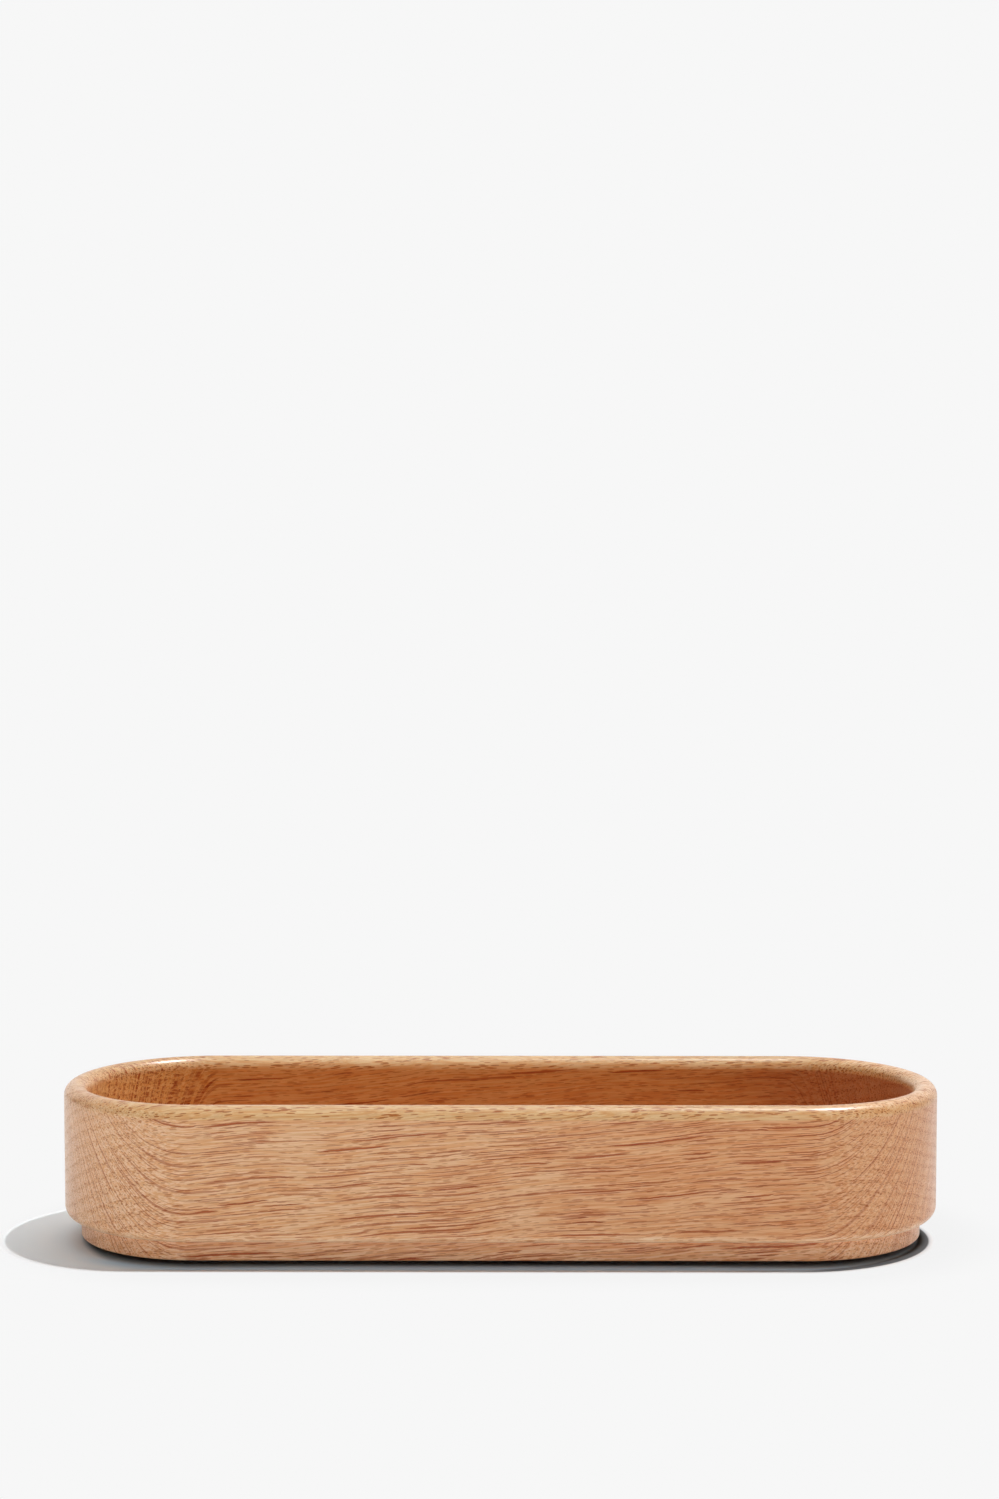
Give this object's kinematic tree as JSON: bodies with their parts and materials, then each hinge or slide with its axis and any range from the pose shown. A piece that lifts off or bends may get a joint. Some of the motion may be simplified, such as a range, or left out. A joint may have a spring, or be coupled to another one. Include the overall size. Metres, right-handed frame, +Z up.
{
  "type": "desk tray",
  "caption": "Long low oak tray with half-round ends, a full-round rim, a deep open pocket and a stepped-in foot on slim rubber pads.",
  "frame": {"origin": "on the surface that the tray stands on, under the middle of the tray", "axes": "+X along the tray's length to the right, +Y across it to the back, +Z up out of the pocket"},
  "size_m": [0.24, 0.078, 0.0432],
  "materials": {
    "oak": "smoothly sanded, satin clear finish",
    "pad_rubber": "matt"
  },
  "bodies": {
    "root": {"tray_body": "oak", "pad_front_left": "pad_rubber", "pad_back_left": "pad_rubber", "pad_front_right": "pad_rubber", "pad_back_right": "pad_rubber"}
  },
  "joints": []
}
